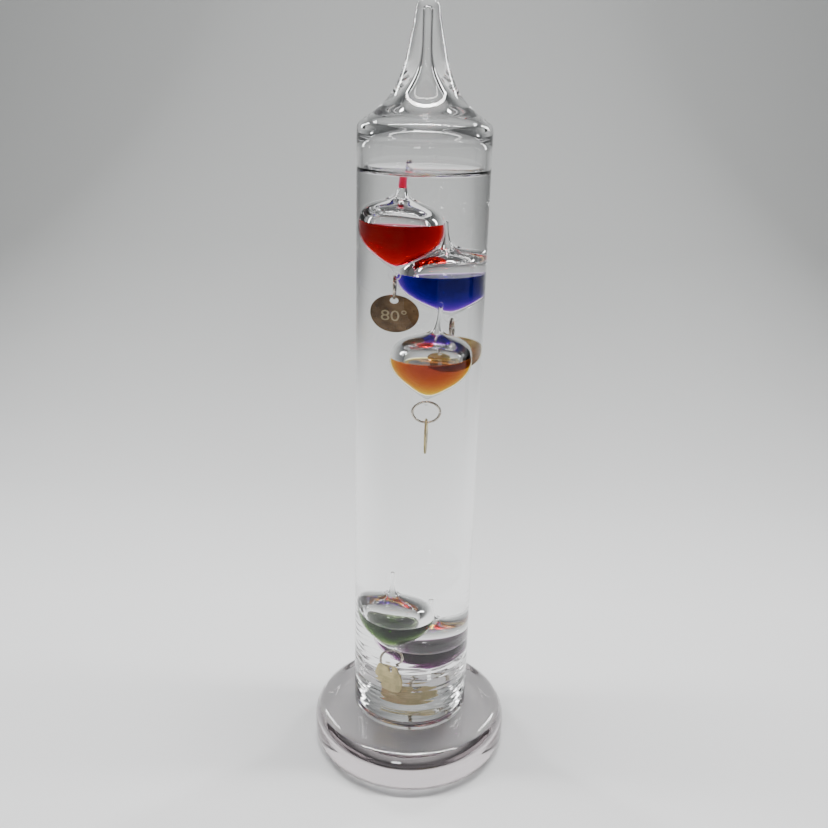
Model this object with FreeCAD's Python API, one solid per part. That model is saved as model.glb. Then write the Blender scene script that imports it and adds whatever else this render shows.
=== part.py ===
import FreeCAD, Part
import math
import os

"""Galileo thermometer: a sealed glass cylinder on a thick glass foot, filled with a clear carrier
liquid in which five part-filled glass bulbs float or sink, each with a wire ring and a brass tag.

All lengths are millimetres. The origin is the centre of the foot's underside, +Z is up and -Y is
the front. Each bulb is placed by the centre of its widest circle.
"""

Vector = FreeCAD.Vector

# Foot and tube
TOTAL_HEIGHT = 280.0
FOOT_RADIUS = 38.3
FOOT_THICKNESS = 17.0
FOOT_TOP_EDGE = 6.7
FOOT_BOTTOM_EDGE = 5.5
TUBE_RADIUS = 22.5
BORE_RADIUS = 20.5
TUBE_CORNER = 1.6
PUNT_RADIUS = 17.0
PUNT_DEPTH = 0.3
FLOOR_Z = 18.8
FLOOR_CORNER = 3.0
SHOULDER_Z = 239.0
BORE_SHOULDER_Z = 233.5
NECK_TIP_RADIUS = 3.9
NECK_BORE_RADIUS = 1.2
NECK_BORE_TOP = 275.5
SHOULDER_BLEND = 2.5

# The shoulder's outer and inner outlines, each as radius and height from the wall to the neck
SHOULDER_OUTLINE = [(22.1, 241.1), (20.4, 242.7), (16.2, 245.6), (12.8, 248.8), (10.4, 252.3),
                    (8.4, 256.6), (6.9, 261.4), (5.6, 267.2), (4.6, 272.0)]
DOME_OUTLINE = [(20.2, 236.2), (18.6, 239.4), (15.2, 242.0), (10.8, 244.4), (7.2, 247.6),
                (4.6, 251.4), (2.6, 255.6), (1.5, 260.6)]
NECK_BORE_START = 266.0

# Carrier liquid
LIQUID_LEVEL = 225.6
LIQUID_GAP = 0.05

# Bulbs
NOMINAL_RADIUS = 11.5
BULB_WALL = 0.4
NIB_DEPTH = 12.0
NIB_RADIUS = 1.0
STEM_RADIUS = 0.55
CAVITY_DEPTH = 11.1
DYE_GAP = 0.02
EYE_MAJOR = 1.2
EYE_ROD = 0.45

# The bulb's onion outline at the nominal radius, as radius and height above its widest circle
BODY_BELOW = [(2.3, -11.1), (4.6, -9.3), (7.8, -6.5), (10.5, -3.2)]
BODY_ABOVE = [(11.35, 3.0), (10.8, 5.4), (9.5, 7.5), (7.3, 9.3), (4.4, 10.6)]

# The drawn tip above it, as extra radius over the tip's and height
TIP_TAPER = [(1.15, 12.2), (0.5, 14.6)]

# The hollow inside it, as radius before the wall is taken off and height
CAVITY_BELOW = [(2.2, -10.4), (4.6, -8.8), (7.8, -6.2), (10.5, -3.0)]
CAVITY_ABOVE = [(11.35, 2.9), (10.8, 5.2), (9.5, 7.2), (7.1, 8.9), (4.4, 10.1)]

# The narrow bore that the hollow runs into inside the drawn tip: its radius as a share of the
# tip's, its taper as extra radius and height, and the solid glass left above it in tip radii
TIP_BORE_SHARE = 0.75
TIP_BORE_TAPER = [(1.0, 11.6), (0.35, 13.4), (0.0, 16.0)]
TIP_SEAL = 2.0

# The little dye caught in the red bulb's tip, as heights above the bulb's widest circle
CAUGHT_LOW = 14.6
CAUGHT_HIGH = 19.6
CAUGHT_BULB = "red"

# Wire rings and tags
RING_RADIUS = 3.8
WIRE_RADIUS = 0.38
WIRE_GAP = 0.08
RING_SPLIT_DEG = 4.0
TAG_RADIUS = 6.5
TAG_THICKNESS = 0.6
TAG_EDGE = 0.1
TAG_HOLE_RADIUS = 1.1
TAG_HOLE_OFFSET = 4.6

# One entry per bulb: centre, radius, leans towards +X and +Y in degrees, tip length above the
# centre, tip radius, dye level above the centre, drop of the eyelet below the nib, and the ring's
# heading in degrees, which is the direction of the wire where it passes the eyelet.
BULBS = {
    "red": {"centre": (-5.9, -3.2, 206.9), "radius": 11.5, "leans": (3.0, 0.0), "tip": 23.2,
            "tip_radius": 1.3, "level": 2.5, "drop": 2.3, "heading": -98.0},
    "blue": {"centre": (6.1, 6.3, 190.0), "radius": 11.4, "leans": (-3.0, -3.0), "tip": 22.2,
             "tip_radius": 0.75, "level": 1.5, "drop": 1.4, "heading": 94.0},
    "orange": {"centre": (3.6, -6.4, 162.3), "radius": 11.6, "leans": (5.0, 0.0), "tip": 22.2,
               "tip_radius": 0.65, "level": 1.4, "drop": 1.2, "heading": 0.0},
    "green": {"centre": (-5.6, -4.9, 59.7), "radius": 11.8, "leans": (0.0, 0.0), "tip": 22.6,
              "tip_radius": 0.75, "level": -0.1, "drop": 1.3, "heading": 28.0},
    "purple": {"centre": (3.9, 8.1, 43.8), "radius": 11.2, "leans": (0.0, 0.0), "tip": 22.2,
               "tip_radius": 0.75, "level": -0.6, "drop": 1.75, "heading": 0.0},
}

# The lowest bulb's tag has reached the floor: it hooks on the side of its ring and lies sloping
# down towards the front.
FLOOR_TAG = "purple"
FLOOR_TAG_RING_ANGLE = -42.0
FLOOR_TAG_NORMAL = (-0.12, -0.33, 0.94)

X_AXIS = Vector(1, 0, 0)
Y_AXIS = Vector(0, 1, 0)
Z_AXIS = Vector(0, 0, 1)
ORIGIN = Vector(0, 0, 0)


def point(radius, height):
    """A point of an outline in the XZ half-plane."""
    return Vector(radius, 0, height)


def line(start, end):
    return Part.LineSegment(start, end).toShape()


def corner_arc(centre_radius, centre_height, radius, start_deg, end_deg):
    """A round corner, drawn from one angle to another about its centre."""
    places = []
    for angle in (start_deg, (start_deg + end_deg) / 2, end_deg):
        turn = math.radians(angle)
        places.append(point(centre_radius + radius * math.cos(turn),
                            centre_height + radius * math.sin(turn)))
    return Part.Arc(*places).toShape()


def smooth_curve(places):
    """One smooth curve through the given points."""
    curve = Part.BSplineCurve()
    curve.interpolate(Points=places)
    return curve.toShape()


def end_of(edge):
    return edge.valueAt(edge.LastParameter)


def start_of(edge):
    return edge.valueAt(edge.FirstParameter)


def revolved(edges):
    """A solid of revolution about Z from edges that run from the axis round to the axis."""
    closing = line(end_of(edges[-1]), start_of(edges[0]))
    face = Part.Face(Part.Wire(edges + [closing]))
    solid = face.revolve(ORIGIN, Z_AXIS, 360)
    if solid.Volume < 0:
        solid.reverse()
    return solid


def glass_foot():
    """The thick round foot, with a large round on its upper edge."""
    top_centre = FOOT_RADIUS - FOOT_TOP_EDGE
    bottom_centre = FOOT_RADIUS - FOOT_BOTTOM_EDGE
    edges = [
        line(point(0, 0), point(bottom_centre, 0)),
        corner_arc(bottom_centre, FOOT_BOTTOM_EDGE, FOOT_BOTTOM_EDGE, -90, 0),
        line(point(FOOT_RADIUS, FOOT_BOTTOM_EDGE),
             point(FOOT_RADIUS, FOOT_THICKNESS - FOOT_TOP_EDGE)),
        corner_arc(top_centre, FOOT_THICKNESS - FOOT_TOP_EDGE, FOOT_TOP_EDGE, 0, 90),
        line(point(top_centre, FOOT_THICKNESS), point(0, FOOT_THICKNESS)),
    ]
    return revolved(edges)


def tube_outside():
    """Everything inside the tube's outer surface, from its foot joint to the sealed tip."""
    tip_base = TOTAL_HEIGHT - NECK_TIP_RADIUS
    bottom = FOOT_THICKNESS
    wall_end = point(TUBE_RADIUS, SHOULDER_Z - SHOULDER_BLEND)
    shoulder = [wall_end, point(TUBE_RADIUS, SHOULDER_Z)]
    shoulder += [point(*place) for place in SHOULDER_OUTLINE]
    shoulder.append(point(NECK_TIP_RADIUS, tip_base))
    punt_flat = point(PUNT_RADIUS - 2 * PUNT_DEPTH, bottom + PUNT_DEPTH)
    edges = [
        line(point(0, bottom + PUNT_DEPTH), punt_flat),
        line(punt_flat, point(PUNT_RADIUS, bottom)),
        line(point(PUNT_RADIUS, bottom), point(TUBE_RADIUS - TUBE_CORNER, bottom)),
        corner_arc(TUBE_RADIUS - TUBE_CORNER, bottom + TUBE_CORNER, TUBE_CORNER, -90, 0),
        line(point(TUBE_RADIUS, bottom + TUBE_CORNER), wall_end),
        smooth_curve(shoulder),
        corner_arc(0, tip_base, NECK_TIP_RADIUS, 0, 90),
    ]
    return revolved(edges)


def bore_edges(top_z=None):
    """The tube's inner outline, up to a flat level if one is given, else to the neck's end."""
    edges = [
        line(point(0, FLOOR_Z), point(BORE_RADIUS - FLOOR_CORNER, FLOOR_Z)),
        corner_arc(BORE_RADIUS - FLOOR_CORNER, FLOOR_Z + FLOOR_CORNER, FLOOR_CORNER, -90, 0),
    ]
    wall_start = point(BORE_RADIUS, FLOOR_Z + FLOOR_CORNER)
    if top_z:
        edges.append(line(wall_start, point(BORE_RADIUS, top_z)))
        edges.append(line(point(BORE_RADIUS, top_z), point(0, top_z)))
        return edges
    wall_end = point(BORE_RADIUS, BORE_SHOULDER_Z - SHOULDER_BLEND)
    dome = [wall_end, point(BORE_RADIUS, BORE_SHOULDER_Z)]
    dome += [point(*place) for place in DOME_OUTLINE]
    dome.append(point(NECK_BORE_RADIUS, NECK_BORE_START))
    edges.append(line(wall_start, wall_end))
    edges.append(smooth_curve(dome))
    edges.append(line(dome[-1], point(NECK_BORE_RADIUS, NECK_BORE_TOP)))
    edges.append(corner_arc(0, NECK_BORE_TOP, NECK_BORE_RADIUS, 0, 90))
    return edges


def glass_tube():
    return tube_outside().cut(revolved(bore_edges()))


def eye_height(bulb):
    """Height of the eyelet's centre, measured from the bulb's centre along its own axis."""
    return -(NIB_DEPTH + bulb["drop"])


def bulb_outside(bulb, grow=0.0):
    """The bulb's outer body in its own frame: onion shape, drawn tip, stem and glass eyelet."""
    tip_radius = bulb["tip_radius"]
    tip_base = bulb["tip"] - tip_radius
    girth = bulb["radius"] / NOMINAL_RADIUS
    outline = [point(NIB_RADIUS + grow, -NIB_DEPTH)]
    for radius, height in BODY_BELOW + [(NOMINAL_RADIUS, 0)] + BODY_ABOVE:
        outline.append(point(radius * girth + grow, height))
    for extra, height in TIP_TAPER:
        outline.append(point(tip_radius + extra + grow, height))
    outline.append(point(tip_radius + grow, tip_base))
    stem_end = eye_height(bulb) + EYE_MAJOR
    edges = [
        line(point(0, stem_end), point(STEM_RADIUS + grow, stem_end)),
        line(point(STEM_RADIUS + grow, stem_end), outline[0]),
        smooth_curve(outline),
        corner_arc(0, tip_base, tip_radius + grow, 0, 90),
    ]
    solid = revolved(edges)
    heading = math.radians(bulb["heading"])
    hole_axis = Vector(math.cos(heading), math.sin(heading), 0)
    eyelet = Part.makeTorus(EYE_MAJOR, EYE_ROD + grow, point(0, eye_height(bulb)), hole_axis)
    return solid.fuse(eyelet)


def bulb_cavity(bulb, inset=0.0):
    """The hollow inside a bulb and its tip, in the bulb's frame."""
    widening = bulb["radius"] - NOMINAL_RADIUS - BULB_WALL - inset
    bore = bulb["tip_radius"] * TIP_BORE_SHARE - inset
    bore_end = bulb["tip"] - bulb["tip_radius"] * (1 + TIP_SEAL)
    places = [point(0, -CAVITY_DEPTH + inset)]
    for radius, height in CAVITY_BELOW + [(NOMINAL_RADIUS, 0)] + CAVITY_ABOVE:
        places.append(point(radius + widening, height))
    for extra, height in TIP_BORE_TAPER:
        places.append(point(bore + extra, height))
    places.append(point(bore, bore_end))
    return revolved([smooth_curve(places), corner_arc(0, bore_end, bore, 0, 90)])


def place_bulb(shape, bulb):
    """Leans a shape from the bulb's frame and carries it to its place."""
    shape.rotate(ORIGIN, Y_AXIS, bulb["leans"][0])
    shape.rotate(ORIGIN, X_AXIS, -bulb["leans"][1])
    shape.translate(Vector(*bulb["centre"]))
    return shape


def float_bulb(bulb):
    return place_bulb(bulb_outside(bulb).cut(bulb_cavity(bulb)), bulb)


def caught_dye(bulb):
    """The short column of dye held in a bulb's tip."""
    reach = NOMINAL_RADIUS
    slab = Part.makeBox(2 * reach, 2 * reach, CAUGHT_HIGH - CAUGHT_LOW)
    slab.translate(Vector(-reach, -reach, CAUGHT_LOW))
    return place_bulb(bulb_cavity(bulb, DYE_GAP).common(slab), bulb)


def dye_fill(bulb):
    """The coloured liquid in a bulb, up to a level surface."""
    filled = place_bulb(bulb_cavity(bulb, DYE_GAP), bulb)
    level_z = bulb["centre"][2] + bulb["level"]
    reach = 2 * NOMINAL_RADIUS
    below = Part.makeBox(2 * reach, 2 * reach, reach)
    below.translate(Vector(*bulb["centre"][:2], level_z) - Vector(reach, reach, reach))
    return filled.common(below)


def bulb_axis(bulb):
    """The leaning bulb's own upward direction."""
    to_x = FreeCAD.Rotation(Y_AXIS, bulb["leans"][0])
    to_y = FreeCAD.Rotation(X_AXIS, -bulb["leans"][1])
    return to_y.multVec(to_x.multVec(Z_AXIS))


def eyelet_wire_point(bulb):
    """Where the ring's wire rests in the eyelet, on the lower side of its hole."""
    hole_centre = Vector(*bulb["centre"]) + bulb_axis(bulb) * eye_height(bulb)
    rest = EYE_MAJOR - EYE_ROD - WIRE_RADIUS - WIRE_GAP
    return hole_centre - Z_AXIS * rest


def ring_direction(bulb, angle_deg):
    """The unit vector from the ring's centre to the point at an angle from its lowest point."""
    heading = math.radians(bulb["heading"])
    angle = math.radians(angle_deg)
    level = Vector(math.cos(heading), math.sin(heading), 0)
    return level * math.sin(angle) - Z_AXIS * math.cos(angle)


def wire_ring(bulb, grow=0.0):
    """A bent wire ring hanging from the eyelet, with a hairline split on its side."""
    sweep = 360.0 - RING_SPLIT_DEG
    ring = Part.makeTorus(RING_RADIUS, WIRE_RADIUS + grow, ORIGIN, Z_AXIS, 0, 360, sweep)
    ring.rotate(ORIGIN, X_AXIS, 90)
    ring.rotate(ORIGIN, Z_AXIS, bulb["heading"])
    ring.translate(eyelet_wire_point(bulb) - Z_AXIS * RING_RADIUS)
    return ring


def tag_placing(name, bulb):
    """Where the tag's hole meets the wire, the tag's normal, and its direction down the slope."""
    ring_centre = eyelet_wire_point(bulb) - Z_AXIS * RING_RADIUS
    if name == FLOOR_TAG:
        wire_point = ring_centre + ring_direction(bulb, FLOOR_TAG_RING_ANGLE) * RING_RADIUS
        normal = Vector(*FLOOR_TAG_NORMAL)
    else:
        wire_point = ring_centre + ring_direction(bulb, 0) * RING_RADIUS
        heading = math.radians(bulb["heading"])
        normal = Vector(math.cos(heading), math.sin(heading), 0)
    normal.normalize()
    slope = -Z_AXIS + normal * normal.z
    slope.normalize()
    return wire_point, normal, slope


def brass_tag(name, bulb, grow=0.0):
    """A thin round disc with a hole near its rim, hung on the ring."""
    wire_point, normal, slope = tag_placing(name, bulb)
    thickness = TAG_THICKNESS + 2 * grow
    if name == FLOOR_TAG:
        hole_centre = wire_point
    else:
        hole_centre = wire_point + slope * (TAG_HOLE_RADIUS - WIRE_RADIUS - WIRE_GAP)
    centre = hole_centre + slope * TAG_HOLE_OFFSET
    base = centre - normal * (thickness / 2)
    disc = Part.makeCylinder(TAG_RADIUS + grow, thickness, base, normal)
    rims = [edge for edge in disc.Edges if edge.Curve.TypeId == "Part::GeomCircle"]
    disc = disc.makeChamfer(TAG_EDGE, rims)
    hole_base = hole_centre - normal * thickness
    hole = Part.makeCylinder(TAG_HOLE_RADIUS - grow, 2 * thickness, hole_base, normal)
    return disc.cut(hole)


def carrier_liquid():
    """The clear liquid round everything that hangs in it."""
    liquid = revolved(bore_edges(LIQUID_LEVEL))
    for name, bulb in BULBS.items():
        liquid = liquid.cut(place_bulb(bulb_outside(bulb, LIQUID_GAP), bulb))
        liquid = liquid.cut(wire_ring(bulb, LIQUID_GAP))
        liquid = liquid.cut(brass_tag(name, bulb, LIQUID_GAP))
    return max(liquid.Solids, key=lambda solid: solid.Volume)


def all_nodes():
    nodes = {
        "glass_foot": glass_foot(),
        "glass_tube": glass_tube(),
        "carrier_liquid": carrier_liquid(),
    }
    for name, bulb in BULBS.items():
        nodes[name + "_bulb"] = float_bulb(bulb)
        nodes[name + "_dye"] = dye_fill(bulb)
        nodes[name + "_ring"] = wire_ring(bulb)
        nodes[name + "_tag"] = brass_tag(name, bulb)
    nodes[CAUGHT_BULB + "_tip_dye"] = caught_dye(BULBS[CAUGHT_BULB])
    return nodes


os.makedirs("parts", exist_ok=True)
for node, shape in all_nodes().items():
    shape.exportStep("parts/" + node + ".step")
    print(node, "solids", len(shape.Solids), "volume", round(shape.Volume, 1), "valid", shape.isValid())
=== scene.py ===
import math

import bmesh
import bpy
import numpy as np
from mathutils import Euler, Matrix, Vector
from mathutils.geometry import delaunay_2d_cdt


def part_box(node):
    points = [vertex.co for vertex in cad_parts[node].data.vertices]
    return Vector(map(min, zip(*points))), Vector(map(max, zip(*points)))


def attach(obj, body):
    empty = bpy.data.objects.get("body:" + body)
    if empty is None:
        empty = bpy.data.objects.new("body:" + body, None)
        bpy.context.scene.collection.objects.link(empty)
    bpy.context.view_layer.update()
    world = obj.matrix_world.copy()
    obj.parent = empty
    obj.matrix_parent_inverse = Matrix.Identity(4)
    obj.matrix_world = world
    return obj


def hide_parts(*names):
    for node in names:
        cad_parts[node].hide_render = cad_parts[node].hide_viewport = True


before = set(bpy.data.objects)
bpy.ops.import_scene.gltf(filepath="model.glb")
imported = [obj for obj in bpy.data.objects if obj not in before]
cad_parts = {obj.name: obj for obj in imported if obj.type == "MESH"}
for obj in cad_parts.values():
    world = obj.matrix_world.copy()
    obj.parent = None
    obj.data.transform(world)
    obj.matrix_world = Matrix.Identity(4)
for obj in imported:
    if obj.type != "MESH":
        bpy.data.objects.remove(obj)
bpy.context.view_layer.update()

# Lengths in this script are millimetres and become metres when a mesh is made.
MM = 0.001
SEGMENTS = 160

# Refractive indices of the three clear materials
N_GLASS = 1.50
N_LIQUID = 1.44
N_DYE = 1.45

# Foot and tube
foot_low, foot_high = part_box("glass_foot")
tube_low, tube_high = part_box("glass_tube")
liquid_low, liquid_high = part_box("carrier_liquid")
FOOT_RADIUS = foot_high.x / MM
FOOT_THICKNESS = foot_high.z / MM
FOOT_TOP_EDGE = 6.7
FOOT_BOTTOM_EDGE = 5.5
TUBE_RADIUS = tube_high.x / MM
TUBE_BOTTOM = tube_low.z / MM
TOTAL_HEIGHT = tube_high.z / MM
BORE_RADIUS = liquid_high.x / MM
FLOOR_Z = liquid_low.z / MM
LIQUID_LEVEL = liquid_high.z / MM
TUBE_CORNER = 1.6
PUNT_RADIUS = 17.0
PUNT_DEPTH = 0.3
FLOOR_CORNER = 3.0
SHOULDER_Z = 239.0
BORE_SHOULDER_Z = 233.5
SHOULDER_BLEND = 2.5
NECK_TIP_RADIUS = 3.9
NECK_BORE_RADIUS = 1.2
NECK_BORE_START = 266.0
NECK_BORE_TOP = 275.5
SHOULDER_OUTLINE = [(22.1, 241.1), (20.4, 242.7), (16.2, 245.6), (12.8, 248.8), (10.4, 252.3),
                    (8.4, 256.6), (6.9, 261.4), (5.6, 267.2), (4.6, 272.0)]
DOME_OUTLINE = [(20.2, 236.2), (18.6, 239.4), (15.2, 242.0), (10.8, 244.4), (7.2, 247.6),
                (4.6, 251.4), (2.6, 255.6), (1.5, 260.6)]
CONTACT_GAP = 0.02
SHEET_DROP = 0.2
SKIN_OVERLAP = 0.03

# The liquid climbs the glass a little where it meets it
MENISCUS_RISE = 1.8
MENISCUS_LENGTH = 1.3
TIP_RISE = 0.7
TIP_MENISCUS_LENGTH = 0.8
DYE_RISE = 0.7
DYE_MENISCUS_LENGTH = 0.9
CAUGHT_HOLLOW = 0.35

# Distances from the rim at which a surface mesh gets a ring of points, close where it curves
SURFACE_INSETS = [0.12, 0.3, 0.55, 0.9, 1.4, 2.0, 2.8, 4.0, 6.0, 8.5, 11.5, 15.0, 18.5]
TIP_OUTSETS = [0.0, 0.1, 0.25, 0.5, 0.9, 1.5, 2.4, 3.2]
TIP_CLEARANCE = 3.5
DYE_INSETS = [0.1, 0.25, 0.5, 0.9, 1.5, 2.4, 3.6, 5.5, 8.0]

# Bulbs: outline at the nominal radius and one entry per bulb
NOMINAL_RADIUS = 11.5
BULB_WALL = 0.4
NIB_DEPTH = 12.0
NIB_RADIUS = 1.0
STEM_RADIUS = 0.55
CAVITY_DEPTH = 11.1
EYE_MAJOR = 1.2
EYE_ROD = 0.45
BODY_BELOW = [(2.3, -11.1), (4.6, -9.3), (7.8, -6.5), (10.5, -3.2)]
BODY_ABOVE = [(11.35, 3.0), (10.8, 5.4), (9.5, 7.5), (7.3, 9.3), (4.4, 10.6)]
TIP_TAPER = [(1.15, 12.2), (0.5, 14.6)]
CAVITY_BELOW = [(2.2, -10.4), (4.6, -8.8), (7.8, -6.2), (10.5, -3.0)]
CAVITY_ABOVE = [(11.35, 2.9), (10.8, 5.2), (9.5, 7.2), (7.1, 8.9), (4.4, 10.1)]
TIP_BORE_SHARE = 0.75
TIP_BORE_TAPER = [(1.0, 11.6), (0.35, 13.4), (0.0, 16.0)]
TIP_SEAL = 2.0
CAUGHT_LOW = 14.6
CAUGHT_HIGH = 19.6
CAUGHT_BULB = "red"

# centre, radius, leans towards +X and +Y, tip length, tip radius, dye level, eyelet drop, heading,
# engraved number, and the dye's absorption: density per metre and the colour it lets through
BULBS = {
    "red": {"centre": (-5.9, -3.2, 206.9), "radius": 11.5, "leans": (3.0, 0.0), "tip": 23.2,
            "tip_radius": 1.3, "level": 2.5, "drop": 2.3, "heading": -98.0, "number": "80°",
            "density": 2500.0, "passes": (0.972, 0.20, 0.48)},
    "blue": {"centre": (6.1, 6.3, 190.0), "radius": 11.4, "leans": (-3.0, -3.0), "tip": 22.2,
             "tip_radius": 0.75, "level": 1.5, "drop": 1.4, "heading": 94.0, "number": "76°",
             "density": 750.0, "passes": (0.52, 0.0, 0.85)},
    "orange": {"centre": (3.6, -6.4, 162.3), "radius": 11.6, "leans": (5.0, 0.0), "tip": 22.2,
               "tip_radius": 0.65, "level": 1.4, "drop": 1.2, "heading": 0.0, "number": "72°",
               "density": 900.0, "passes": (0.94, 0.81, 0.0)},
    "green": {"centre": (-5.6, -4.9, 59.7), "radius": 11.8, "leans": (0.0, 0.0), "tip": 22.6,
              "tip_radius": 0.75, "level": -0.1, "drop": 1.3, "heading": 28.0, "number": "68°",
              "density": 1200.0, "passes": (0.72, 0.79, 0.62)},
    "purple": {"centre": (3.9, 8.1, 43.8), "radius": 11.2, "leans": (0.0, 0.0), "tip": 22.2,
               "tip_radius": 0.75, "level": -0.6, "drop": 1.75, "heading": 0.0, "number": "64°",
               "density": 1500.0, "passes": (0.74, 0.42, 0.73)},
}

# Wire rings and tags
RING_RADIUS = 3.8
WIRE_RADIUS = 0.38
WIRE_GAP = 0.08
RING_SPLIT_DEG = 4.0
TAG_RADIUS = 6.5
TAG_THICKNESS = 0.6
TAG_EDGE = 0.1
TAG_HOLE_RADIUS = 1.1
TAG_HOLE_OFFSET = 4.6
NUMBER_HEIGHT = 5.2
NUMBER_DEPTH = 0.012
FLOOR_TAG = "purple"
FLOOR_TAG_RING_ANGLE = -42.0
FLOOR_TAG_NORMAL = (-0.12, -0.33, 0.94)

# Tooling ripples left in the lower wall of the tube
RIPPLE_LOW = 17.0
RIPPLE_HIGH = 52.0
RIPPLE_PITCH = 2.7
RIPPLE_DEPTH = 0.04
FOOT_SAG = 0.12

# What the foot's slightly tinted glass lets through, and its density per metre
FOOT_PASSES = (0.80, 0.768, 0.778)
FOOT_DENSITY = 29.0

# Stage
FLOOR_GREY = (0.70, 0.71, 0.72)
# Painted shade: the wall gets a darker grey than the floor, standing for the light that falls off up the
# sheet
WALL_PAINTED_SHADE_GREY = (0.37, 0.38, 0.38)
WORLD_STRENGTH = 0.16
WALL_Y = 560.0
WALL_BEND = 330.0
SHEET_REACH = 1500.0
WALL_HEIGHT = 1600.0
OVERHEAD_HEIGHT = 640
OVERHEAD_SIZE = (45, 460)
OVERHEAD_WATTS = 4.0
OVERHEAD_COLOUR = (1.0, 0.985, 0.97)
REAR_STRIP_SIZE = (45, 260)
REAR_STRIP_WATTS = 1.6

# Camera
EYE_DISTANCE = 313.1
EYE_HEIGHT = 252.5
LOOK_DOWN_DEG = 19.75
ROLL_DEG = 1.47
YAW_DEG = -0.22
LENS_MM = 39.55
SENSOR_MM = 36.0


# ---------------------------------------------------------------- materials

def new_material(name):
    """An empty node material with its output."""
    material = bpy.data.materials.new(name)
    material.use_nodes = True
    tree = material.node_tree
    tree.nodes.clear()
    output = tree.nodes.new("ShaderNodeOutputMaterial")
    return material, tree, output


def grain(tree, scale, detail=3.0, stretch=(1.0, 1.0, 1.0)):
    """A noise value over the piece's own surface."""
    where = tree.nodes.new("ShaderNodeTexCoord")
    mapping = tree.nodes.new("ShaderNodeMapping")
    mapping.inputs["Scale"].default_value = stretch
    noise = tree.nodes.new("ShaderNodeTexNoise")
    noise.inputs["Scale"].default_value = scale
    noise.inputs["Detail"].default_value = detail
    tree.links.new(where.outputs["Object"], mapping.inputs["Vector"])
    tree.links.new(mapping.outputs["Vector"], noise.inputs["Vector"])
    return noise.outputs["Fac"]


def ramp_of(tree, value, stops):
    """A colour ramp from noise to the given (place, colour) stops."""
    ramp = tree.nodes.new("ShaderNodeValToRGB")
    points = ramp.color_ramp.elements
    while len(points) < len(stops):
        points.new(0.5)
    for element, (place, colour) in zip(points, stops):
        element.position = place
        element.color = (*colour, 1.0)
    tree.links.new(value, ramp.inputs["Fac"])
    return ramp.outputs["Color"]


def spread_of(tree, value, low, high):
    """Noise brought to the range low to high."""
    spread = tree.nodes.new("ShaderNodeMapRange")
    spread.inputs["From Min"].default_value = 0.3
    spread.inputs["From Max"].default_value = 0.7
    spread.inputs["To Min"].default_value = low
    spread.inputs["To Max"].default_value = high
    tree.links.new(value, spread.inputs["Value"])
    return spread.outputs["Result"]


def bump_of(tree, value, depth):
    """A normal from a height in millimetres."""
    bump = tree.nodes.new("ShaderNodeBump")
    bump.inputs["Strength"].default_value = 1.0
    bump.inputs["Distance"].default_value = depth * MM
    tree.links.new(value, bump.inputs["Height"])
    return bump.outputs["Normal"]


def clear_shader(tree, ior, tint, roughest, wave_scale=0.0, wave_depth=0.0):
    """Clear glass or liquid against what lies outside it."""
    shader = tree.nodes.new("ShaderNodeBsdfPrincipled")
    shader.inputs["Transmission Weight"].default_value = 1.0
    shader.inputs["IOR"].default_value = ior
    fine = grain(tree, 900.0)
    paler = tuple(1.0 - (1.0 - part) * 0.5 for part in tint)
    tree.links.new(ramp_of(tree, fine, [(0.3, tint), (0.7, paler)]), shader.inputs["Base Color"])
    tree.links.new(spread_of(tree, fine, 0.0, roughest), shader.inputs["Roughness"])
    if wave_depth:
        wave = grain(tree, wave_scale, 1.0)
        tree.links.new(bump_of(tree, wave, wave_depth), shader.inputs["Normal"])
    return shader


def clear_material(name, ior, tint=(0.995, 0.998, 0.997), roughest=0.004, **wave):
    """A clear material of one shader."""
    material, tree, output = new_material(name)
    shader = clear_shader(tree, ior, tint, roughest, **wave)
    tree.links.new(shader.outputs[0], output.inputs["Surface"])
    return material


def unseen_material(name):
    """A surface between two liquids or where liquid lies against glass, which light passes."""
    material, tree, output = new_material(name)
    shader = tree.nodes.new("ShaderNodeBsdfTransparent")
    colour = ramp_of(tree, grain(tree, 60.0), [(0.3, (0.998, 0.999, 0.999)), (0.7, (1.0, 1.0, 1.0))])
    tree.links.new(colour, shader.inputs["Color"])
    tree.links.new(shader.outputs[0], output.inputs["Surface"])
    return material


def dye_material(name, bulb):
    """Dyed liquid: its free surface bends light, its sides lie on the bulb's glass."""
    material, tree, output = new_material(name)
    surface = clear_shader(tree, N_DYE, (0.99, 0.99, 0.99), 0.01)
    sides = tree.nodes.new("ShaderNodeBsdfTransparent")
    free = tree.nodes.new("ShaderNodeAttribute")
    free.attribute_name = "free_surface"
    mix = tree.nodes.new("ShaderNodeMixShader")
    tree.links.new(free.outputs["Fac"], mix.inputs[0])
    tree.links.new(sides.outputs[0], mix.inputs[1])
    tree.links.new(surface.outputs[0], mix.inputs[2])
    tree.links.new(mix.outputs[0], output.inputs["Surface"])
    depth = tree.nodes.new("ShaderNodeVolumeAbsorption")
    depth.inputs["Color"].default_value = (*bulb["passes"], 1.0)
    depth.inputs["Density"].default_value = bulb["density"]
    tree.links.new(depth.outputs[0], output.inputs["Volume"])
    return material


def metal_material(name, dark, light, roughness, scratch_depth=0.006, shine=1.0):
    """Brass or wire with mottled tarnish and fine scratches."""
    material, tree, output = new_material(name)
    shader = tree.nodes.new("ShaderNodeBsdfPrincipled")
    shader.inputs["Metallic"].default_value = shine
    patches = grain(tree, 260.0, 6.0)
    lines = grain(tree, 900.0, 4.0, stretch=(1.0, 6.0, 1.0))
    tree.links.new(ramp_of(tree, patches, [(0.35, dark), (0.62, light)]), shader.inputs["Base Color"])
    tree.links.new(spread_of(tree, lines, *roughness), shader.inputs["Roughness"])
    tree.links.new(bump_of(tree, lines, scratch_depth), shader.inputs["Normal"])
    tree.links.new(shader.outputs[0], output.inputs["Surface"])
    return material


# ---------------------------------------------------------------- meshes

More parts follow.
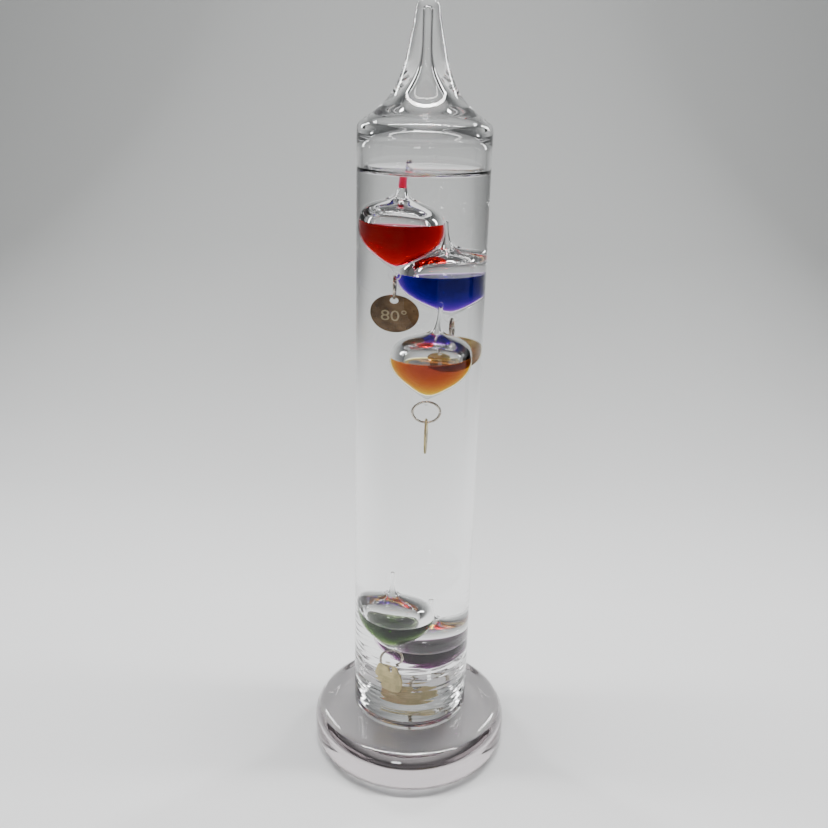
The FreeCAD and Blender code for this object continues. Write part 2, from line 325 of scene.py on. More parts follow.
def smooth_points(places, count):
    """Evenly spaced points on a natural cubic curve through the given places."""
    fixed = np.array(places, float)
    steps = np.linalg.norm(np.diff(fixed, axis=0), axis=1)
    travel = np.concatenate([[0.0], np.cumsum(steps)])
    size = len(travel)
    system = np.eye(size)
    right = np.zeros((size, 2))
    for i in range(1, size - 1):
        system[i, i - 1] = steps[i - 1]
        system[i, i] = 2 * (steps[i - 1] + steps[i])
        system[i, i + 1] = steps[i]
        right[i] = 6 * ((fixed[i + 1] - fixed[i]) / steps[i] - (fixed[i] - fixed[i - 1]) / steps[i - 1])
    bend = np.linalg.solve(system, right)
    found = []
    for place in np.linspace(0.0, travel[-1], count):
        k = min(int(np.searchsorted(travel, place, side="right")) - 1, size - 2)
        h = steps[k]
        a = (travel[k + 1] - place) / h
        b = 1.0 - a
        curve = (a ** 3 - a) * bend[k] + (b ** 3 - b) * bend[k + 1]
        found.append(tuple(a * fixed[k] + b * fixed[k + 1] + curve * h * h / 6))
    return found


def arc_points(centre, radius, start_deg, end_deg, count):
    """Points along part of a circle."""
    angles = np.radians(np.linspace(start_deg, end_deg, count))
    return [(centre[0] + radius * math.cos(a), centre[1] + radius * math.sin(a)) for a in angles]


def spaced(start, end, step):
    """Points along a straight stretch, without its first point."""
    count = max(1, int(math.hypot(end[0] - start[0], end[1] - start[1]) / step))
    parts = [i / count for i in range(1, count + 1)]
    return [(start[0] + (end[0] - start[0]) * t, start[1] + (end[1] - start[1]) * t) for t in parts]


def joined(*stretches):
    """One outline from several, leaving out repeated points."""
    outline = []
    for stretch in stretches:
        for place in stretch:
            place = (max(place[0], 0.0), place[1])
            if not outline or math.dist(outline[-1], place) > 1e-4:
                outline.append(place)
    return outline


def lathe_shell(outline, relief=None, segments=SEGMENTS):
    """Vertices and faces turned from an outline that runs from the axis to the axis."""
    verts = []
    rings = []
    for radius, height in outline:
        if radius < 1e-4:
            rings.append([len(verts)] * segments)
            verts.append((0.0, 0.0, height))
            continue
        rings.append(list(range(len(verts), len(verts) + segments)))
        for j in range(segments):
            angle = 2 * math.pi * j / segments
            reach = radius + (relief(angle, height) if relief else 0.0)
            verts.append((reach * math.cos(angle), reach * math.sin(angle), height))
    faces = []
    for low, high in zip(rings, rings[1:]):
        for j in range(segments):
            k = (j + 1) % segments
            corners = [low[j], low[k], high[k], high[j]]
            faces.append(tuple(dict.fromkeys(corners)))
    return verts, faces


def torus_shell(major, minor, placing, start_deg=0.0, sweep_deg=360.0, around=72, across=20):
    """A round bar bent to a ring, closed or with a split, placed by a function of a point."""
    closed = sweep_deg >= 360.0
    count = around if closed else around + 1
    verts = []
    for i in range(count):
        turn = math.radians(start_deg + sweep_deg * i / around)
        for j in range(across):
            tilt = 2 * math.pi * j / across
            reach = major + minor * math.cos(tilt)
            local = Vector((reach * math.cos(turn), reach * math.sin(turn), minor * math.sin(tilt)))
            verts.append(tuple(placing(local)))
    faces = []
    for i in range(around):
        m = (i + 1) % count
        for j in range(across):
            k = (j + 1) % across
            faces.append((i * across + j, m * across + j, m * across + k, i * across + k))
    if not closed:
        faces.append(tuple(range(across)))
        faces.append(tuple(range(around * across, (around + 1) * across))[::-1])
    return verts, faces


def make_piece(name, shells, materials, transform=None, sharp_deg=40.0):
    """One mesh piece from shells of (verts, faces, material index)."""
    verts = []
    faces = []
    indices = []
    for shell_verts, shell_faces, index in shells:
        start = len(verts)
        verts += shell_verts
        faces += [tuple(start + v for v in face) for face in shell_faces]
        indices += [index] * len(shell_faces)
    mesh = bpy.data.meshes.new(name)
    mesh.from_pydata([tuple(part * MM for part in v) for v in verts], [], faces)
    mesh.polygons.foreach_set("material_index", indices)
    for material in materials:
        mesh.materials.append(material)
    piece = bpy.data.objects.new(name, mesh)
    bpy.context.scene.collection.objects.link(piece)
    if transform is not None:
        mesh.transform(transform)
    mesh.shade_smooth()
    mesh.set_sharp_from_angle(angle=math.radians(sharp_deg))
    return piece


def cut_level(piece, level, keep_above=True):
    """Cuts new edges into a piece at a level in millimetres, and can drop what is above."""
    work = bmesh.new()
    work.from_mesh(piece.data)
    geometry = work.verts[:] + work.edges[:] + work.faces[:]
    bmesh.ops.bisect_plane(work, geom=geometry, dist=1e-8, plane_co=(0, 0, level * MM),
                           plane_no=(0, 0, 1), clear_outer=not keep_above)
    work.to_mesh(piece.data)
    work.free()


def assign_above(piece, level, changes):
    """Gives faces above a level another material, as {old index: new index}."""
    for face in piece.data.polygons:
        if face.center.z > level * MM and face.material_index in changes:
            face.material_index = changes[face.material_index]


def add_piece(piece, body, node=None):
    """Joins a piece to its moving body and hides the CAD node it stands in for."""
    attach(piece, body)
    if node:
        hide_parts(node)
    return piece


# ---------------------------------------------------------------- foot

def foot_piece():
    """The round foot, with large round edges and a faintly uneven rim."""
    top_centre = (FOOT_RADIUS - FOOT_TOP_EDGE, FOOT_THICKNESS - FOOT_TOP_EDGE)
    low_centre = (FOOT_RADIUS - FOOT_BOTTOM_EDGE, FOOT_BOTTOM_EDGE)
    outline = joined(
        [(0.0, 0.0)], spaced((0, 0), (low_centre[0], 0.0), 1.5),
        arc_points(low_centre, FOOT_BOTTOM_EDGE, -90, 0, 20),
        arc_points(top_centre, FOOT_TOP_EDGE, 0, 90, 24),
        spaced((top_centre[0], FOOT_THICKNESS), (0.0, FOOT_THICKNESS), 1.5))

    def sag(angle, height):
        """How far the rim strays from a true circle."""
        return FOOT_SAG * math.sin(2 * angle + 0.7) * min(1.0, height / FOOT_THICKNESS)

    verts, faces = lathe_shell(outline, sag)
    glass = clear_material("foot_clear_glass", N_GLASS, (0.985, 0.98, 0.98), 0.006,
                           wave_scale=45.0, wave_depth=0.05)
    tree = glass.node_tree
    depth = tree.nodes.new("ShaderNodeVolumeAbsorption")
    depth.inputs["Color"].default_value = (*FOOT_PASSES, 1.0)
    depth.inputs["Density"].default_value = FOOT_DENSITY
    tree.links.new(depth.outputs[0], tree.nodes["Material Output"].inputs["Volume"])
    piece = make_piece("foot_disc", [(verts, faces, 0)], [glass])
    return add_piece(piece, "glass_vessel", "glass_foot")


# ---------------------------------------------------------------- tube and liquid

def ripple(angle, height):
    """Relief of the tooling ripples, fading out upwards and downwards."""
    if not RIPPLE_LOW < height < RIPPLE_HIGH:
        return 0.0
    part = (height - RIPPLE_LOW) / (RIPPLE_HIGH - RIPPLE_LOW)
    fade = math.sin(math.pi * part) ** 0.7
    drift = 0.45 * math.sin(angle + 0.6) + 0.25 * math.sin(2 * angle + 2.0)
    wave = math.sin(2 * math.pi * (height + drift) / RIPPLE_PITCH)
    second = 0.5 * math.sin(2 * math.pi * (height - 1.3 * drift) / (RIPPLE_PITCH * 0.61) + 1.0)
    return RIPPLE_DEPTH * fade * (wave + second)


def bore_wall():
    """The wetted lower part of the bore's outline, from the floor's centre up the wall."""
    corner = (BORE_RADIUS - FLOOR_CORNER, FLOOR_Z + FLOOR_CORNER)
    return joined([(0.0, FLOOR_Z)], spaced((0, FLOOR_Z), (corner[0], FLOOR_Z), 1.5),
                  arc_points(corner, FLOOR_CORNER, -90, 0, 16))


def tube_piece():
    """The sealed tube: outer wall, shoulder and neck, and the bore inside them."""
    tip_base = TOTAL_HEIGHT - NECK_TIP_RADIUS
    blend = SHOULDER_Z - SHOULDER_BLEND
    shoulder = smooth_points([(TUBE_RADIUS, blend), (TUBE_RADIUS, SHOULDER_Z)] + SHOULDER_OUTLINE
                             + [(NECK_TIP_RADIUS, tip_base)], 110)
    low = TUBE_BOTTOM + CONTACT_GAP
    punt_edge = PUNT_RADIUS - 2 * PUNT_DEPTH
    outer = joined(
        [(0.0, low + PUNT_DEPTH)], spaced((0, low + PUNT_DEPTH), (punt_edge, low + PUNT_DEPTH), 1.5),
        spaced((punt_edge, low + PUNT_DEPTH), (PUNT_RADIUS, low), 0.3),
        spaced((PUNT_RADIUS, low), (TUBE_RADIUS - TUBE_CORNER, low), 0.5),
        arc_points((TUBE_RADIUS - TUBE_CORNER, low + TUBE_CORNER), TUBE_CORNER, -90, 0, 12),
        spaced((TUBE_RADIUS, low + TUBE_CORNER), (TUBE_RADIUS, RIPPLE_HIGH + 4), 0.35),
        spaced((TUBE_RADIUS, RIPPLE_HIGH + 4), (TUBE_RADIUS, blend), 4.0),
        shoulder, arc_points((0.0, tip_base), NECK_TIP_RADIUS, 0, 90, 16))
    wall_end = (BORE_RADIUS, BORE_SHOULDER_Z - SHOULDER_BLEND)
    dome = smooth_points([wall_end, (BORE_RADIUS, BORE_SHOULDER_Z)] + DOME_OUTLINE
                         + [(NECK_BORE_RADIUS, NECK_BORE_START)], 110)
    bore = bore_wall()
    inner = joined(
        bore, spaced(bore[-1], (BORE_RADIUS, LIQUID_LEVEL + MENISCUS_RISE), 4.0),
        spaced((BORE_RADIUS, LIQUID_LEVEL + MENISCUS_RISE), wall_end, 1.0), dome,
        spaced(dome[-1], (NECK_BORE_RADIUS, NECK_BORE_TOP), 2.0),
        arc_points((0.0, NECK_BORE_TOP), NECK_BORE_RADIUS, 0, 90, 8))[::-1]
    outer_verts, outer_faces = lathe_shell(outer, ripple)
    inner_verts, inner_faces = lathe_shell(inner)
    dry = clear_material("tube_glass_dry", N_GLASS, wave_scale=30.0, wave_depth=0.01)
    wet = clear_material("tube_glass_wetted", N_GLASS / N_LIQUID)
    piece = make_piece("tube_glass", [(outer_verts, outer_faces, 0), (inner_verts, inner_faces, 1)],
                       [dry, wet])
    assign_above(piece, LIQUID_LEVEL + MENISCUS_RISE, {1: 0})
    return add_piece(piece, "glass_vessel", "glass_tube")


def tip_crossing(bulb):
    """Where a bulb's drawn tip passes the liquid's surface: centre and radius, or None."""
    lean = Euler((math.radians(-bulb["leans"][1]), math.radians(bulb["leans"][0]), 0))
    axis = lean.to_matrix() @ Vector((0, 0, 1))
    rise = LIQUID_LEVEL - bulb["centre"][2]
    if rise > bulb["tip"]:
        return None
    place = Vector(bulb["centre"]) + axis * (rise / axis.z)
    return (place.x, place.y), bulb["tip_radius"] + 0.05


def liquid_top(points):
    """Height of the liquid's surface at each point, climbing the wall and a tip that pokes out."""
    radius = np.hypot(points[:, 0], points[:, 1])
    height = MENISCUS_RISE * np.exp((radius - BORE_RADIUS) / MENISCUS_LENGTH)
    for bulb in BULBS.values():
        crossing = tip_crossing(bulb)
        if crossing:
            centre, size = crossing
            away = np.hypot(points[:, 0] - centre[0], points[:, 1] - centre[1]) - size
            climb = TIP_RISE * np.exp(-np.maximum(away, 0.0) / TIP_MENISCUS_LENGTH)
            height = np.maximum(height, climb)
    return LIQUID_LEVEL + height


def liquid_piece():
    """The carrier liquid: a surface that climbs the wall and a skin just inside the glass."""
    edge = BORE_RADIUS + SKIN_OVERLAP
    crossings = [c for c in map(tip_crossing, BULBS.values()) if c]
    points = [(edge * math.cos(2 * math.pi * j / SEGMENTS), edge * math.sin(2 * math.pi * j / SEGMENTS))
              for j in range(SEGMENTS)]
    for inset in SURFACE_INSETS:
        reach = edge - inset
        count = max(8, int(SEGMENTS * reach / edge))
        for j in range(count):
            angle = 2 * math.pi * (j + 0.5 * (inset > 1.0)) / count
            place = (reach * math.cos(angle), reach * math.sin(angle))
            if all(math.dist(place, centre) > size + TIP_CLEARANCE for centre, size in crossings):
                points.append(place)
    for centre, size in crossings:
        for step in TIP_OUTSETS:
            for j in range(32):
                angle = 2 * math.pi * j / 32
                reach = size + step
                points.append((centre[0] + reach * math.cos(angle), centre[1] + reach * math.sin(angle)))
        points.append(centre)
    ring = [(j, (j + 1) % SEGMENTS) for j in range(SEGMENTS)]
    flat, _, triangles, *_ = delaunay_2d_cdt([Vector(p) for p in points], ring, [], 1, 1e-5)
    flat = np.array([tuple(p) for p in flat])
    heights = liquid_top(flat)
    verts = [(x, y, z) for (x, y), z in zip(flat, heights)]
    faces = []
    kinds = []
    for triangle in triangles:
        middle = flat[list(triangle)].mean(axis=0)
        inside = any(math.dist(middle, centre) < size for centre, size in crossings)
        faces.append(tuple(triangle))
        kinds.append(1 if inside else 0)
    rim = list(range(SEGMENTS))
    outline = [(r + SKIN_OVERLAP * (r > 0), z - SKIN_OVERLAP) for r, z in bore_wall()]
    outline += spaced(outline[-1], (edge, LIQUID_LEVEL - 1.0), 6.0)
    for radius, height in outline[::-1]:
        if radius < 1e-4:
            ring_now = [len(verts)] * SEGMENTS
            verts.append((0.0, 0.0, height))
        else:
            ring_now = list(range(len(verts), len(verts) + SEGMENTS))
            verts += [(radius * math.cos(2 * math.pi * j / SEGMENTS),
                       radius * math.sin(2 * math.pi * j / SEGMENTS), height) for j in range(SEGMENTS)]
        for j in range(SEGMENTS):
            k = (j + 1) % SEGMENTS
            faces.append(tuple(dict.fromkeys([ring_now[j], ring_now[k], rim[k], rim[j]])))
            kinds.append(1)
        rim = ring_now
    top = clear_material("liquid_surface", N_LIQUID)
    sides = unseen_material("liquid_sides")
    piece = make_piece("liquid_fill", [(verts, faces, 0)], [top, sides], sharp_deg=60.0)
    piece.data.polygons.foreach_set("material_index", kinds)
    return add_piece(piece, "glass_vessel", "carrier_liquid")


# ---------------------------------------------------------------- bulbs

def lean_of(bulb):
    """The transform from a bulb's own frame, in metres, to where it hangs."""
    to_x = Matrix.Rotation(math.radians(bulb["leans"][0]), 4, "Y")
    to_y = Matrix.Rotation(-math.radians(bulb["leans"][1]), 4, "X")
    return Matrix.Translation(Vector(bulb["centre"]) * MM) @ to_y @ to_x


def eye_height(bulb):
    """Height of the eyelet's centre, measured from the bulb's centre."""
    return -(NIB_DEPTH + bulb["drop"])


def bulb_outline(bulb):
    """The bulb's outer outline from the stem's end to the drawn tip."""
    tip_base = bulb["tip"] - bulb["tip_radius"]
    girth = bulb["radius"] / NOMINAL_RADIUS
    places = [(NIB_RADIUS, -NIB_DEPTH)]
    places += [(r * girth, z) for r, z in BODY_BELOW + [(NOMINAL_RADIUS, 0.0)] + BODY_ABOVE]
    places += [(bulb["tip_radius"] + extra, z) for extra, z in TIP_TAPER]
    places.append((bulb["tip_radius"], tip_base))
    stem_end = eye_height(bulb) + EYE_MAJOR
    return joined([(0.0, stem_end), (STEM_RADIUS, stem_end)],
                  spaced((STEM_RADIUS, stem_end), places[0], 0.4), smooth_points(places, 90),
                  arc_points((0.0, tip_base), bulb["tip_radius"], 0, 90, 10))


def cavity_outline(bulb, grow=0.0):
    """The outline of the hollow inside a bulb and its tip."""
    widening = bulb["radius"] - NOMINAL_RADIUS - BULB_WALL + grow
    bore = bulb["tip_radius"] * TIP_BORE_SHARE + grow
    bore_end = bulb["tip"] - bulb["tip_radius"] * (1 + TIP_SEAL)
    places = [(0.0, -CAVITY_DEPTH - grow)]
    places += [(r + widening, z) for r, z in CAVITY_BELOW + [(NOMINAL_RADIUS, 0.0)] + CAVITY_ABOVE]
    places += [(bore + extra, z) for extra, z in TIP_BORE_TAPER]
    places.append((bore, bore_end))
    return joined(smooth_points(places, 130), arc_points((0.0, bore_end), bore, 0, 90, 8))


def bulb_piece(name, bulb):
    """Bulb, tip and eyelet in glass, parted where liquid, dye or air lies against it."""
    outer_verts, outer_faces = lathe_shell(bulb_outline(bulb), segments=120)
    inner_verts, inner_faces = lathe_shell(cavity_outline(bulb)[::-1], segments=120)
    heading = Matrix.Rotation(math.radians(bulb["heading"]), 3, "Z")
    stand = heading @ Matrix.Rotation(math.radians(90), 3, "Y")

    def place_eyelet(local):
        return stand @ local + Vector((0, 0, eye_height(bulb)))

    eye_verts, eye_faces = torus_shell(EYE_MAJOR, EYE_ROD, place_eyelet, around=48)
    wet = clear_material(name + "_glass_wetted", N_GLASS / N_LIQUID)
    dry = clear_material(name + "_glass_dry", N_GLASS)
    dyed = clear_material(name + "_glass_dyed", N_GLASS / N_DYE)
    piece = make_piece(name + "_bulb_glass", [(outer_verts, outer_faces, 0), (eye_verts, eye_faces, 0),
                                              (inner_verts, inner_faces, 2)],
                       [wet, dry, dyed], transform=lean_of(bulb))
    dye_line = bulb["centre"][2] + bulb["level"] + DYE_RISE
    cut_level(piece, dye_line)
    assign_above(piece, dye_line, {2: 1})
    if name == CAUGHT_BULB:
        low, high = (bulb["centre"][2] + part for part in (CAUGHT_LOW, CAUGHT_HIGH))
        cut_level(piece, low)
        cut_level(piece, high)
        inner = np.array([face.material_index == 1 for face in piece.data.polygons])
        for face in piece.data.polygons:
            if inner[face.index] and low * MM < face.center.z < high * MM:
                face.material_index = 2
    if tip_crossing(bulb):
        cut_level(piece, LIQUID_LEVEL + TIP_RISE)
        assign_above(piece, LIQUID_LEVEL + TIP_RISE, {0: 1})
    return add_piece(piece, name + "_float", name + "_bulb")


def dye_piece(name, bulb, material):
    """The dyed filling, with a surface that climbs a little at the glass."""
    verts, faces = lathe_shell(cavity_outline(bulb, SKIN_OVERLAP), segments=120)
    piece = make_piece(name + "_dye_fill", [(verts, faces, 0)], [material], transform=lean_of(bulb))
    level = bulb["centre"][2] + bulb["level"]
    cut_level(piece, level + DYE_RISE, keep_above=False)
    work = bmesh.new()
    work.from_mesh(piece.data)
    rim = [v for v in work.verts if any(edge.is_boundary for edge in v.link_edges)]
    middle = sum((v.co for v in rim), Vector()) / len(rim)
    rim.sort(key=lambda v: math.atan2(v.co.y - middle.y, v.co.x - middle.x))
    flag = work.faces.layers.float.new("free_surface")
    ring = rim
    for inset in DYE_INSETS:
        drop = DYE_RISE * (1.0 - math.exp(-inset / DYE_MENISCUS_LENGTH)) * MM
        inner = []
        for v in rim:
            away = v.co - middle
            share = max(0.02, 1.0 - inset * MM / away.length)
            inner.append(work.verts.new(middle + away * share - Vector((0, 0, drop))))
        for j in range(len(rim)):
            k = (j + 1) % len(rim)
            work.faces.new([ring[j], ring[k], inner[k], inner[j]])[flag] = 1.0
        ring = inner
    work.faces.new(ring)[flag] = 1.0
    for face in work.faces:
        face.smooth = True
    work.to_mesh(piece.data)
    work.free()
    piece.data.set_sharp_from_angle(angle=math.radians(60))
    return add_piece(piece, name + "_float", name + "_dye")


def caught_dye_piece(name, bulb, material):
    """The short column of dye held in the tip, with a hollow face at each end."""
    outline = cavity_outline(bulb, SKIN_OVERLAP)
    sides = [place for place in outline if CAUGHT_LOW < place[1] < CAUGHT_HIGH]
    low_radius = sides[0][0]
    high_radius = sides[-1][0]
    low_face = [(low_radius * t, CAUGHT_LOW + CAUGHT_HOLLOW * (1 - t * t)) for t in np.linspace(0, 1, 8)]
    high_face = [(high_radius * t, CAUGHT_HIGH - CAUGHT_HOLLOW * (1 - t * t)) for t in np.linspace(1, 0, 8)]
    verts, faces = lathe_shell(joined(low_face, sides, high_face), segments=48)
    piece = make_piece(name + "_tip_dye_column", [(verts, faces, 0)], [material])
    flag = piece.data.attributes.new("free_surface", "FLOAT", "FACE")
    for face in piece.data.polygons:
        facing = abs(face.normal.z) > 0.5
        flag.data[face.index].value = 1.0 if facing else 0.0
    piece.data.transform(lean_of(bulb))
    return add_piece(piece, name + "_float", name + "_tip_dye")


# ---------------------------------------------------------------- rings and tags

def wire_point(bulb):
    """Where the ring's wire rests in the eyelet."""
    hole = lean_of(bulb) @ (Vector((0, 0, eye_height(bulb))) * MM) / MM
    return hole - Vector((0, 0, EYE_MAJOR - EYE_ROD - WIRE_RADIUS - WIRE_GAP))


def ring_piece(name, bulb, metal):
    """The split wire ring, upright under its eyelet."""
    heading = Matrix.Rotation(math.radians(bulb["heading"]), 3, "Z")
    upright = heading @ Matrix.Rotation(math.radians(90), 3, "X")
    centre = wire_point(bulb) - Vector((0, 0, RING_RADIUS))

    def place(local):
        return upright @ local + centre

    verts, faces = torus_shell(RING_RADIUS, WIRE_RADIUS, place, sweep_deg=360.0 - RING_SPLIT_DEG,
                               around=120, across=20)
    piece = make_piece(name + "_wire_ring", [(verts, faces, 0)], [metal])
    return add_piece(piece, name + "_ring", name + "_ring")


def tag_frame(name, bulb):
    """The tag's own axes: across, up the tag, and out of its face, about its centre."""
    centre = wire_point(bulb) - Vector((0, 0, RING_RADIUS))
    heading = math.radians(bulb["heading"])
    level = Vector((math.cos(heading), math.sin(heading), 0))
    if name == FLOOR_TAG:
        angle = math.radians(FLOOR_TAG_RING_ANGLE)
        held = centre + (level * math.sin(angle) - Vector((0, 0, math.cos(angle)))) * RING_RADIUS
        normal = Vector(FLOOR_TAG_NORMAL).normalized()
        slide = 0.0
    else:
        held = centre - Vector((0, 0, RING_RADIUS))
        normal = level
        slide = TAG_HOLE_RADIUS - WIRE_RADIUS - WIRE_GAP
    slope = (Vector((0, 0, -1)) + normal * normal.z).normalized()
    middle = held + slope * (slide + TAG_HOLE_OFFSET)
    across = (-slope).cross(normal)
    turn = Matrix((across, -slope, normal)).transposed().to_4x4()
    return Matrix.Translation(middle * MM) @ turn


def tag_shell():
    """A round disc with bevelled rims and a hole near its upper edge."""
    count = 96
    steps = 8
    half = TAG_THICKNESS / 2
    verts = []

    def ring(share, height, outer_inset, hole_inset):
        start = len(verts)
        for j in range(count):
            angle = 2 * math.pi * j / count
            out = Vector((math.cos(angle), math.sin(angle)))
            rim = out * (TAG_RADIUS - outer_inset)
            hole = Vector((0, TAG_HOLE_OFFSET)) + out * (TAG_HOLE_RADIUS + hole_inset)
            place = rim * (1 - share) + hole * share
            verts.append((place.x, place.y, height))
        return start

    rows = []
    for t in range(steps + 1):
        rows.append(ring(t / steps, half, TAG_EDGE, TAG_EDGE))
    rows.append(ring(1.0, half - TAG_EDGE, TAG_EDGE, 0.0))
    rows.append(ring(1.0, -half + TAG_EDGE, TAG_EDGE, 0.0))
    for t in range(steps + 1):
        rows.append(ring(1 - t / steps, -half, TAG_EDGE, TAG_EDGE))
    rows.append(ring(0.0, -half + TAG_EDGE, 0.0, 0.0))
    rows.append(ring(0.0, half - TAG_EDGE, 0.0, 0.0))
    faces = []
    for row, after in zip(rows, rows[1:] + rows[:1]):
        for j in range(count):
            k = (j + 1) % count
            faces.append((row + j, row + k, after + k, after + j))
    return verts, faces


def number_piece(name, bulb, placing, dark):
    """The temperature engraved on the tag's face, as a thin dark inlay."""
    text = bpy.data.curves.new(name + "_number_curve", "FONT")
    text.body = bulb["number"]
    text.align_x = "CENTER"
    text.align_y = "CENTER"
    text.size = NUMBER_HEIGHT * MM
    text.extrude = NUMBER_DEPTH * MM
    holder = bpy.data.objects.new(name + "_number_holder", text)
    bpy.context.scene.collection.objects.link(holder)
    bpy.context.view_layer.update()
    mesh = bpy.data.meshes.new_from_object(holder)
    bpy.data.objects.remove(holder)
    mesh.name = name + "_number"
    lift = Matrix.Translation((0, -0.9 * MM, TAG_THICKNESS / 2 * MM))
    far_side = Matrix.Rotation(math.pi if name == FLOOR_TAG else 0.0, 4, "Y")
    mesh.transform(placing @ far_side @ lift)
    mesh.materials.clear()
    mesh.materials.append(dark)
    piece = bpy.data.objects.new(name + "_tag_number", mesh)
    bpy.context.scene.collection.objects.link(piece)
    return add_piece(piece, name + "_tag", None)


def tag_piece(name, bulb, metal):
    """The brass tag; returns where it hangs, for its number."""
    verts, faces = tag_shell()
    placing = tag_frame(name, bulb)
    piece = make_piece(name + "_brass_tag", [(verts, faces, 0)], [metal], transform=placing)
    add_piece(piece, name + "_tag", name + "_tag")
    return placing


# ---------------------------------------------------------------- stage

def sweep_piece():
    """A pale paper sweep: floor, curve and back wall in one sheet, with painted shade greying it up the
    wall.
    """
    bend_start = WALL_Y - WALL_BEND
    path = [(-SHEET_REACH, -SHEET_DROP)]
    path += spaced((-SHEET_REACH, -SHEET_DROP), (bend_start, -SHEET_DROP), 60.0)
    path += [(bend_start + WALL_BEND * math.sin(a), WALL_BEND - SHEET_DROP - WALL_BEND * math.cos(a))
             for a in np.linspace(0.03, math.pi / 2, 40)]
    path += spaced((WALL_Y, WALL_BEND), (WALL_Y, WALL_HEIGHT), 60.0)
    widths = np.linspace(-SHEET_REACH, SHEET_REACH, 31)
    verts = [(x, y, z) for y, z in path for x in widths]
    faces = []
    for i in range(len(path) - 1):
        for j in range(len(widths) - 1):
            a = i * len(widths) + j
            faces.append((a, a + 1, a + 1 + len(widths), a + len(widths)))
    material, tree, output = new_material("paper_sweep")
    shader = tree.nodes.new("ShaderNodeBsdfPrincipled")
    where = tree.nodes.new("ShaderNodeTexCoord")
    split = tree.nodes.new("ShaderNodeSeparateXYZ")
    tree.links.new(where.outputs["Object"], split.inputs[0])
    # Painted shade: the sheet's colour darkens from the floor towards the wall
    rise = tree.nodes.new("ShaderNodeMapRange")
    rise.inputs["From Min"].default_value = 0.10
    rise.inputs["From Max"].default_value = 0.50
    tree.links.new(split.outputs["Y"], rise.inputs["Value"])
    # Random mottle added onto the painted shade gradient
    mottle_and_painted_shade = tree.nodes.new("ShaderNodeMath")
    mottle_and_painted_shade.operation = "MULTIPLY_ADD"
    mottle_and_painted_shade.inputs[1].default_value = 0.08
    tree.links.new(grain(tree, 14.0, 5.0), mottle_and_painted_shade.inputs[0])
    tree.links.new(rise.outputs["Result"], mottle_and_painted_shade.inputs[2])
    colour = ramp_of(tree, mottle_and_painted_shade.outputs[0], [(0.0, FLOOR_GREY), (1.0, WALL_PAINTED_SHADE_GREY)])
    tree.links.new(colour, shader.inputs["Base Color"])
    shader.inputs["Roughness"].default_value = 0.75
    tree.links.new(shader.outputs[0], output.inputs["Surface"])
    piece = make_piece("paper_backdrop", [(verts, faces, 0)], [material])
    return piece


def dark_card(name, centre, size, turn_deg):
    """A dark cloth card out of the camera's sight, which only shows as a reflection."""
    across, high = size
    flat = [(-across / 2, 0.0, -high / 2), (across / 2, 0.0, -high / 2),
            (across / 2, 0.0, high / 2), (-across / 2, 0.0, high / 2)]
    material, tree, output = new_material(name + "_cloth")
    shader = tree.nodes.new("ShaderNodeBsdfPrincipled")
    weave = grain(tree, 120.0, 2.0)
    colour = ramp_of(tree, weave, [(0.3, (0.008, 0.007, 0.009)), (0.7, (0.02, 0.018, 0.022))])
    tree.links.new(colour, shader.inputs["Base Color"])
    shader.inputs["Roughness"].default_value = 0.95
    tree.links.new(shader.outputs[0], output.inputs["Surface"])
    turn = Matrix.Translation(Vector(centre) * MM) @ Matrix.Rotation(math.radians(turn_deg), 4, "Z")
    piece = make_piece(name, [(flat, [(0, 1, 2, 3)], 0)], [material], transform=turn)
    piece.visible_camera = False
    return piece


def area_light(name, place, target, size, watts, colour=(1.0, 1.0, 1.0)):
    """A soft rectangular lamp aimed at a point."""
    light = bpy.data.lights.new(name, "AREA")
    light.shape = "RECTANGLE"
    light.size, light.size_y = size[0] * MM, size[1] * MM
    light.energy = watts
    light.color = colour
    lamp = bpy.data.objects.new(name, light)
    lamp.location = Vector(place) * MM
    lamp.rotation_euler = (Vector(target) - Vector(place)).to_track_quat("-Z", "Y").to_euler()
    bpy.context.scene.collection.objects.link(lamp)
    return lamp


def lights():
    """Two long strips overhead, two tall ones behind at the sides, and a weak lamp in front."""
    for name, place, target in [("overhead_left", -110, -70), ("overhead_right", 130, 70)]:
        area_light(name, (place, 0, OVERHEAD_HEIGHT), (target, 0, 0), OVERHEAD_SIZE, OVERHEAD_WATTS,
                   OVERHEAD_COLOUR)
    for side in (-1, 1):
        area_light(f"rear_strip_{side:+d}", (370 * side, 330, 400), (0, 0, 240),
                   REAR_STRIP_SIZE, REAR_STRIP_WATTS)
    area_light("front_lamp", (-150, -640, 420), (0, 0, 130), (120, 120), 1.5)
    world = bpy.data.worlds.new("studio_world")
    world.use_nodes = True
    world.node_tree.nodes["Background"].inputs["Color"].default_value = (0.80, 0.81, 0.83, 1.0)
    world.node_tree.nodes["Background"].inputs["Strength"].default_value = WORLD_STRENGTH
    bpy.context.scene.world = world


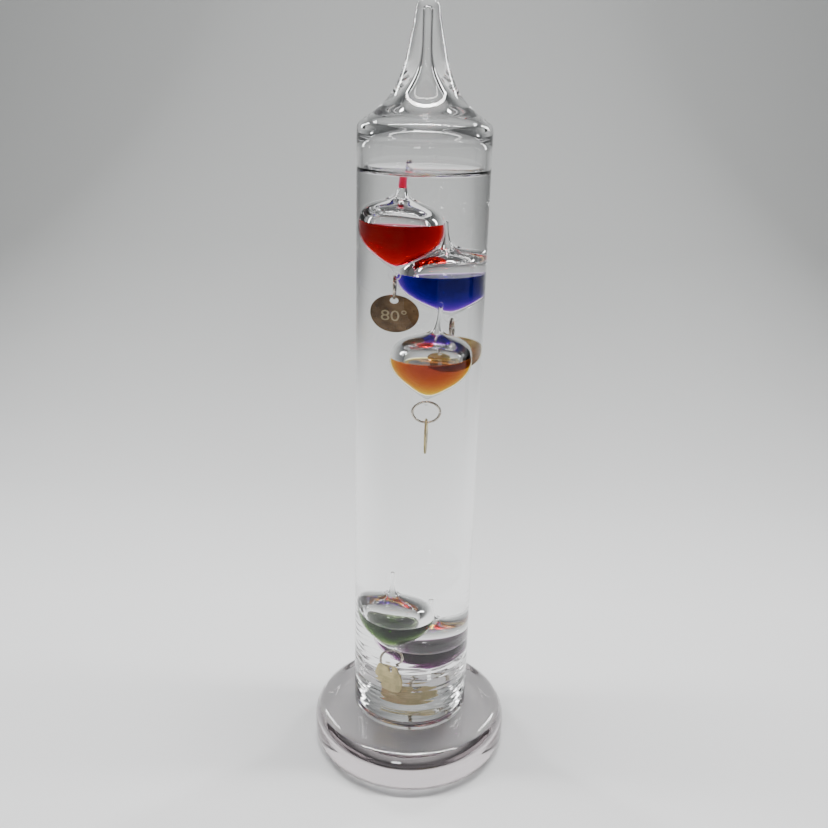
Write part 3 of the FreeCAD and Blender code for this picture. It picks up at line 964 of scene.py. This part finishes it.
def camera():
    """The eye stands in front and a little above, looking down at the thermometer."""
    down = math.radians(LOOK_DOWN_DEG)
    roll = math.radians(ROLL_DEG)
    yaw = math.radians(YAW_DEG)
    forward = Vector((math.sin(yaw) * math.cos(down), math.cos(yaw) * math.cos(down), -math.sin(down)))
    side = forward.cross(Vector((0, 0, 1))).normalized()
    above = side.cross(forward)
    right = side * math.cos(roll) + above * math.sin(roll)
    up = above * math.cos(roll) - side * math.sin(roll)
    turn = Matrix((right, up, -forward)).transposed().to_4x4()
    data = bpy.data.cameras.new("photo_camera")
    data.lens = LENS_MM
    data.sensor_width = SENSOR_MM
    data.clip_start = 0.01
    eye = bpy.data.objects.new("photo_camera", data)
    eye.matrix_world = Matrix.Translation(Vector((0, -EYE_DISTANCE, EYE_HEIGHT)) * MM) @ turn
    bpy.context.scene.collection.objects.link(eye)
    bpy.context.scene.camera = eye


# ---------------------------------------------------------------- build

foot_piece()
tube_piece()
liquid_piece()
ring_metal = metal_material("ring_wire_metal", (0.30, 0.25, 0.19), (0.72, 0.66, 0.56), (0.16, 0.34))
gold_brass = metal_material("tag_brass_metal", (0.44, 0.36, 0.14), (0.72, 0.60, 0.27), (0.30, 0.50),
                           shine=0.7)
bronze = metal_material("tag_bronze_metal", (0.10, 0.06, 0.03), (0.24, 0.15, 0.08), (0.25, 0.45))
number_dark = metal_material("number_patina", (0.05, 0.035, 0.02), (0.14, 0.10, 0.06), (0.5, 0.8))
number_pale = metal_material("number_bright", (0.42, 0.34, 0.20), (0.60, 0.50, 0.32), (0.3, 0.5))
for color_name, bulb_data in BULBS.items():
    bulb_piece(color_name, bulb_data)
    dyed = dye_material(color_name + "_dyed", bulb_data)
    dye_piece(color_name, bulb_data, dyed)
    if color_name == CAUGHT_BULB:
        caught_dye_piece(color_name, bulb_data, dyed)
    ring_piece(color_name, bulb_data, ring_metal)
    dark_tag = color_name == "red"
    tag_place = tag_piece(color_name, bulb_data, bronze if dark_tag else gold_brass)
    number_piece(color_name, bulb_data, tag_place, number_pale if dark_tag else number_dark)
sweep_piece()
dark_card("front_card", (0, -720, 230), (760, 460), 0)
dark_card("right_card", (330, 40, 240), (60, 420), 90)
lights()
camera()

cycles = bpy.context.scene.cycles
cycles.max_bounces = 40
cycles.transmission_bounces = 40
cycles.glossy_bounces = 12
cycles.diffuse_bounces = 4
cycles.transparent_max_bounces = 64
cycles.volume_bounces = 2
